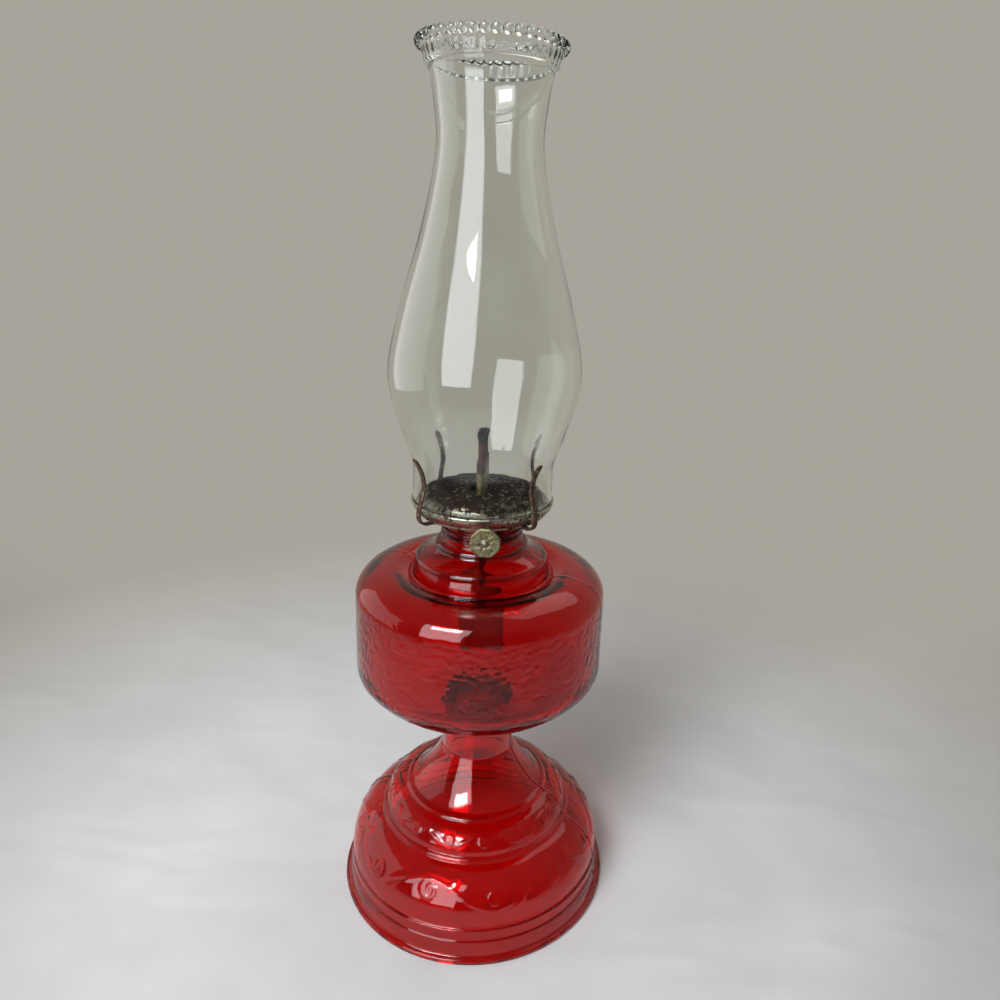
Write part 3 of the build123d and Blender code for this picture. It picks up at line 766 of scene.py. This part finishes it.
def thumb_wheel(metal):
    """Eight-sided knob with a pressed flower: a ring of petals, a rope border and a raised hub."""
    low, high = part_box("thumb_wheel")
    centre = (low + high) / 2 / MM
    across = (high.x - low.x) / 2 / MM
    half = (high.y - low.y) / 2 / MM
    rings, columns = 34, 160

    def edge_radius(angle):
        sector = (angle + math.pi / 8) % (math.pi / 4) - math.pi / 8
        return min(across / math.cos(sector), across * 1.045)

    def relief(share, angle):
        petals = 0.5 + 0.5 * math.cos(8 * angle)
        flower = 0.20 * petals * math.exp(-((share - 0.50) / 0.15) ** 2)
        veins = 0.10 * math.cos(24 * angle) * math.exp(-((share - 0.66) / 0.14) ** 2)
        border = 0.14 * math.exp(-((share - 0.88) / 0.05) ** 2) * (0.6 + 0.4 * math.cos(32 * angle))
        hub = 0.30 * math.exp(-(share / 0.18) ** 2)
        dip = -0.16 * math.exp(-((share - 0.29) / 0.05) ** 2)
        fall = -0.45 * max(0.0, (share - 0.94) / 0.06) ** 2
        return flower + veins + border + hub + dip + fall - 0.28

    vertices, faces = [], []
    for side in (-1, 1):
        for i in range(1, rings + 1):
            share = i / rings
            for j in range(columns):
                angle = math.tau * j / columns
                radius = edge_radius(angle) * share
                depth = half + (relief(share, angle) if side < 0 else -0.3 * max(0.0, (share - 0.94) / 0.06) ** 2)
                vertices.append((centre.x + radius * math.cos(angle), centre.y + side * depth,
                                 centre.z + radius * math.sin(angle)))
    side_count = rings * columns
    for side in (0, 1):
        start = side * side_count
        for i in range(rings - 1):
            for j in range(columns):
                k = (j + 1) % columns
                a, b = start + i * columns + j, start + i * columns + k
                face = [a, b, b + columns, a + columns]
                faces.append(face if side == 0 else face[::-1])
        vertices.append((centre.x, centre.y + (-1, 1)[side] * (half + (0.06, 0.0)[side]), centre.z))
        hub = len(vertices) - 1
        for j in range(columns):
            k = (j + 1) % columns
            faces.append([hub, start + k, start + j] if side == 0 else [hub, start + j, start + k])
    for j in range(columns):
        k = (j + 1) % columns
        front, back = (rings - 1) * columns, side_count + (rings - 1) * columns
        faces.append([front + j, front + k, back + k, back + j])
    return new_piece("flower_knob", vertices, faces, metal, "wick_drive", ["thumb_wheel"])


def knob_rivet(metal):
    """Peened head of the shaft in the knob's middle."""
    low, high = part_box("thumb_wheel_rivet")
    centre = (low + high) / 2 / MM
    radius = (high.x - low.x) / 2 / MM * 0.86
    face_y = high.y / MM
    depth = face_y - low.y / MM
    profile = [(0, depth), (0.25, depth * 0.98), (0.5, depth * 0.88), (0.75, depth * 0.62), (0.92, depth * 0.3),
               (1.0, 0.0), (1.0, -0.2), (0, -0.2)]
    columns = 36
    vertices = []
    for share, rise in profile:
        for j in range(columns):
            angle = math.tau * j / columns
            flat = 1 + 0.05 * math.sin(3 * angle + 1)
            vertices.append((centre.x + share * radius * flat * math.cos(angle), face_y - rise,
                             centre.z + share * radius * flat * math.sin(angle)))
    faces = ring_faces(0, len(profile), columns)
    return new_piece("knob_rivet", vertices, faces, metal, "wick_drive", ["thumb_wheel_rivet"])


def wick(cotton):
    """Flat woven wick: ribbed webbing, a quarter turn in the font, and a burnt, frayed top."""
    bottom = bottom_of("wick")
    top = top_of("wick")
    width, depth = 25.2, 3.0
    turn_end, turn_height = 196.5, 12.0
    spread_start, spread_height = top - 3.4, 2.2
    around = []
    for n in range(96):
        t = n / 96 * 4
        side = int(t)
        f = t - side
        if side == 0:
            around.append((depth / 2, -width / 2 + 1.5 + f * (width - 3.0)))
        elif side == 1:
            a = math.pi * f
            around.append((depth / 2 * math.cos(a), width / 2 - 1.5 + 1.5 * math.sin(a)))
        elif side == 2:
            around.append((-depth / 2, width / 2 - 1.5 - f * (width - 3.0)))
        else:
            a = math.pi * (1 + f)
            around.append((depth / 2 * math.cos(a), -width / 2 + 1.5 + 1.5 * math.sin(a)))
    rows = round((top - bottom) / 0.55)
    vertices = []
    for i in range(rows + 1):
        z = bottom + (top - bottom) * i / rows
        turn_share = min(1.0, max(0.0, (turn_end - z) / turn_height))
        turn = math.pi / 2 * (3 * turn_share**2 - 2 * turn_share**3)
        spread = min(1.0, max(0.0, (z - spread_start) / spread_height))
        for n, (x, y) in enumerate(around):
            flat = abs(x) > 1.2
            rib = 0.13 * math.cos(y * math.tau / 2.1) * (1 if flat else 0)
            weave = 0.07 * math.cos(z * math.tau / 1.5 + (math.pi if round(y / 1.05) % 2 else 0))
            out = rib + weave + 0.12 * noise.noise(Vector((x * 1.5, y * 0.9, z * 0.8)))
            if spread > 0:
                out += spread * (0.9 + 0.55 * noise.noise(Vector((x * 0.9, y * 0.8, z * 0.9))))
            out = out if spread > 0 else max(min(out, 0.16), -0.3)
            direction = math.copysign(1, x) if flat else x / (depth / 2)
            px = x + direction * out
            py = y * (1 - 0.30 * spread)
            height = z + (0.9 * noise.noise(Vector((x * 0.8, y * 0.45, 3.1))) * spread if i > rows - 8 else 0)
            vertices.append((px * math.cos(turn) - py * math.sin(turn), px * math.sin(turn) + py * math.cos(turn),
                             min(height, top)))
    count = len(around)
    faces = ring_faces(0, rows + 1, count)
    for end, z in ((0, bottom), (rows, top - 1.2)):
        vertices.append((0, 0, z))
        middle = len(vertices) - 1
        for j in range(count):
            k = (j + 1) % count
            ring = [end * count + j, end * count + k]
            faces.append([middle, *(ring[::-1] if end == 0 else ring)])
    return new_piece("woven_wick", vertices, faces, cotton, "wick", ["wick"])


def wick_fray(cotton):
    """Loose burnt threads at the wick's top, all of them above the tube when the wick is fully down."""
    top = top_of("wick")
    vertices, faces = [], []
    for n in range(230):
        if n < 190:
            y = random.uniform(-9.0, 9.0)
            x = random.uniform(-2.3, 2.3)
            start = Vector((x, y, top - random.uniform(1.0, 3.4)))
            direction = Vector((x * 0.28 + random.uniform(-0.5, 0.5), random.uniform(-0.5, 0.5) + 0.03 * y,
                                random.uniform(0.5, 1.2)))
            length = random.uniform(1.2, 3.2)
        else:
            end_side = random.choice((-1, 1))
            start = Vector((random.uniform(-1.3, 1.3), 11.0 * end_side, top - random.uniform(1.0, 3.2)))
            direction = Vector((random.uniform(-0.8, 0.8), end_side * random.uniform(0.3, 1),
                                random.uniform(-0.4, 0.9)))
            length = random.uniform(0.8, 2.4)
        direction.normalize()
        bend = Vector((random.uniform(-1, 1), random.uniform(-1, 1), random.uniform(-0.6, 0.3))) * 0.7
        thickness = random.uniform(0.07, 0.17)
        points = [start + direction * length * t + bend * length * t * t for t in (0, 0.33, 0.66, 1.0)]
        for point in points:
            point.z = max(point.z, top - 3.4)
        first = len(vertices)
        for i, point in enumerate(points):
            size = thickness * (1 - 0.25 * i)
            for j in range(4):
                a = math.tau * j / 4
                vertices.append(tuple(point + Vector((math.cos(a) * size, math.sin(a) * size, 0.3 * size))))
        faces += ring_faces(first, 4, 4)
        faces.append([first + 3, first + 2, first + 1, first])
        faces.append([first + 12 + j for j in range(4)])
    return new_piece("wick_fray", vertices, faces, cotton, "wick", ())


# ---------------------------------------------------------------- stage, light and camera

def wall_shade(tree, direction):
    """Colour of the room in a direction: warm grey wall behind the lamp, dimmer room in front of it."""
    split = tree.nodes.new("ShaderNodeSeparateXYZ")
    tree.links.new(direction, split.inputs["Vector"])
    wall = ramp(tree, levels(tree, split.outputs["Y"], -0.7, 0.6, 0.0, 1.0),
                (0.0, (0.055, 0.05, 0.046)), (1.0, (0.395, 0.37, 0.325)))
    up = levels(tree, split.outputs["Z"], 0.35, 0.9, 0.0, 1.0)
    return blend_colours(tree, up, wall, (0.17, 0.168, 0.16))


def stage_floor():
    """Pale cloth under the lamp that further out runs into the wall's colour as a painted glow of the room's light,
    dim in front and bright behind, so that no horizon shows.
    """
    columns, radii = 96, (0.0, 0.2, 0.4, 1.2, 4.0)
    vertices = [(r * math.cos(math.tau * j / columns), r * math.sin(math.tau * j / columns), 0.0)
                for r in radii for j in range(columns)]
    faces = [face[::-1] for face in ring_faces(0, len(radii), columns)]
    mesh = bpy.data.meshes.new("floor")
    mesh.from_pydata(vertices, [], faces)
    floor = bpy.data.objects.new("floor", mesh)
    bpy.context.scene.collection.objects.link(floor)
    made, tree, shader = material("floor_cloth")
    soft = noise_node(tree, 14.0, 3.0)
    tree.links.new(ramp(tree, soft.outputs["Fac"], (0.3, (0.60, 0.605, 0.61)), (0.7, (0.66, 0.665, 0.67))),
                   shader.inputs["Base Color"])
    shader.inputs["Roughness"].default_value = 0.9
    folds = noise_node(tree, 11.0, 2.0, stretch=(0.5, 1, 1), distortion=0.6)
    bump(tree, shader, folds.outputs["Fac"], 0.5, 9.0)
    place = tree.nodes.new("ShaderNodeTexCoord")
    reach = tree.nodes.new("ShaderNodeVectorMath")
    reach.operation = "LENGTH"
    tree.links.new(place.outputs["Object"], reach.inputs[0])
    outward = tree.nodes.new("ShaderNodeVectorMath")
    outward.operation = "NORMALIZE"
    tree.links.new(place.outputs["Object"], outward.inputs[0])
    # Painted room light: further out the floor glows in the room's colour instead of being lit, dim towards the front
    # and bright towards the wall behind the lamp.
    painted_room_glow = tree.nodes.new("ShaderNodeEmission")
    tree.links.new(wall_shade(tree, outward.outputs["Vector"]), painted_room_glow.inputs["Color"])
    join = tree.nodes.new("ShaderNodeMixShader")
    tree.links.new(levels(tree, reach.outputs["Value"], 0.20, 0.58, 0.0, 1.0), join.inputs["Fac"])
    tree.links.new(shader.outputs["BSDF"], join.inputs[1])
    tree.links.new(painted_room_glow.outputs["Emission"], join.inputs[2])
    tree.links.new(join.outputs["Shader"], tree.nodes["Material Output"].inputs["Surface"])
    mesh.materials.append(made)


def room_light():
    """The room as a soft surround."""
    world = bpy.data.worlds.new("room")
    world.use_nodes = True
    tree = world.node_tree
    place = tree.nodes.new("ShaderNodeTexCoord")
    tree.links.new(wall_shade(tree, place.outputs["Generated"]), tree.nodes["Background"].inputs["Color"])
    bpy.context.scene.world = world


def area_light(name, azimuth, distance, height, size, power, colour):
    """Soft rectangle of light that faces the lamp from a bearing; 0 is the knob's side."""
    data = bpy.data.lights.new(name, "AREA")
    data.shape = "RECTANGLE"
    data.size, data.size_y = size
    data.energy = power
    data.color = colour
    light = bpy.data.objects.new(name, data)
    a = math.radians(azimuth)
    light.location = (distance * math.sin(a), -distance * math.cos(a), height)
    aim = Vector((0, 0, 0.22)) - light.location
    light.rotation_euler = aim.to_track_quat("-Z", "Y").to_euler()
    bpy.context.scene.collection.objects.link(light)


def camera():
    """Camera close in front, above the burner and a little below the chimney's rim."""
    bearing, pitch, roll = (math.radians(angle) for angle in (1.9, 16.11, 2.25))
    back, across, height = 0.4052, 0.0255, 0.3738
    data = bpy.data.cameras.new("camera")
    data.sensor_width = 36.0
    data.lens = 27.96
    data.shift_x = -0.0303
    data.shift_y = -0.0314
    data.clip_start = 0.01
    seen = bpy.data.objects.new("camera", data)
    forward = Vector((-math.sin(bearing), math.cos(bearing), 0))
    right = Vector((math.cos(bearing), math.sin(bearing), 0))
    seen.location = -forward * back + right * across + Vector((0, 0, height))
    look = forward * math.cos(pitch) - Vector((0, 0, math.sin(pitch)))
    seen.rotation_mode = "QUATERNION"
    seen.rotation_quaternion = look.to_track_quat("-Z", "Y") @ Quaternion((0, 0, 1), roll)
    bpy.context.scene.collection.objects.link(seen)
    bpy.context.scene.camera = seen


def dress(node, made):
    """Give a CAD node that stays its finished material."""
    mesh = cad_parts[node].data
    mesh.materials.clear()
    mesh.materials.append(made)


camera()
stage_floor()
room_light()
area_light("window", -27.5, 1.3, 0.75, (0.95, 1.5), 21.0, (0.93, 0.96, 1.0))
area_light("window_sky", -27.5, 0.95, 1.05, (0.50, 0.26), 9.0, (0.95, 0.97, 1.0))
area_light("left_wall", -97.0, 1.0, 0.35, (1.1, 0.9), 2.6, (1.0, 0.97, 0.97))
area_light("ceiling_fill", 150.0, 0.9, 1.6, (1.2, 1.2), 4.0, (1.0, 0.96, 0.9))

pedestal_foot(ruby_glass("ruby_foot_glass", 0.955))
font(ruby_glass("ruby_font_glass", 0.875))
chimney(clear_glass())

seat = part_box("chimney")[0].z
tin = speckled_metal("tinned_sheet", (0.50, 0.47, 0.37), (0.034, 0.015, 0.009), 0.40, dull_above=seat + MM)
browned = speckled_metal("browned_deck", (0.42, 0.36, 0.28), (0.030, 0.012, 0.007), 0.95, sheet_rough=0.35)
spring = speckled_metal("browned_spring", (0.24, 0.19, 0.14), (0.075, 0.036, 0.020), 0.70, 500.0, 0.45)
brass = aged_metal("aged_brass", (0.50, 0.42, 0.20), (0.16, 0.115, 0.05))
sooty_brass = aged_metal("sooty_brass", (0.50, 0.42, 0.20), (0.16, 0.115, 0.05),
                         soot_above=(top_of("wick_tube") - 6) * MM)
knob_brass = aged_metal("knob_brass", (0.34, 0.32, 0.18), (0.12, 0.105, 0.05), 0.40, 2600.0)
worn = aged_metal("worn_edge", (0.60, 0.56, 0.49), (0.20, 0.16, 0.12), 0.30)
steel = aged_metal("dull_steel", (0.40, 0.37, 0.33), (0.14, 0.12, 0.10), 0.42)
chimney_gallery(tin)
deck_burrs(worn)
for name, degrees in PRONGS.items():
    prong(name, degrees, spring)
thumb_wheel(knob_brass)
knob_rivet(steel)
cotton = wick_cotton()
wick(cotton)
wick_fray(cotton)
for node in ("screw_collar", "vent_tube", "wheel_housing", "spur_wheels", "shaft_bush"):
    dress(node, brass)
dress("wick_tube", sooty_brass)
dress("burner_basket", tin)
dress("air_deck", browned)
dress("prong_rivets", spring)
dress("wick_shaft", steel)

bpy.context.scene.view_settings.view_transform = "Standard"
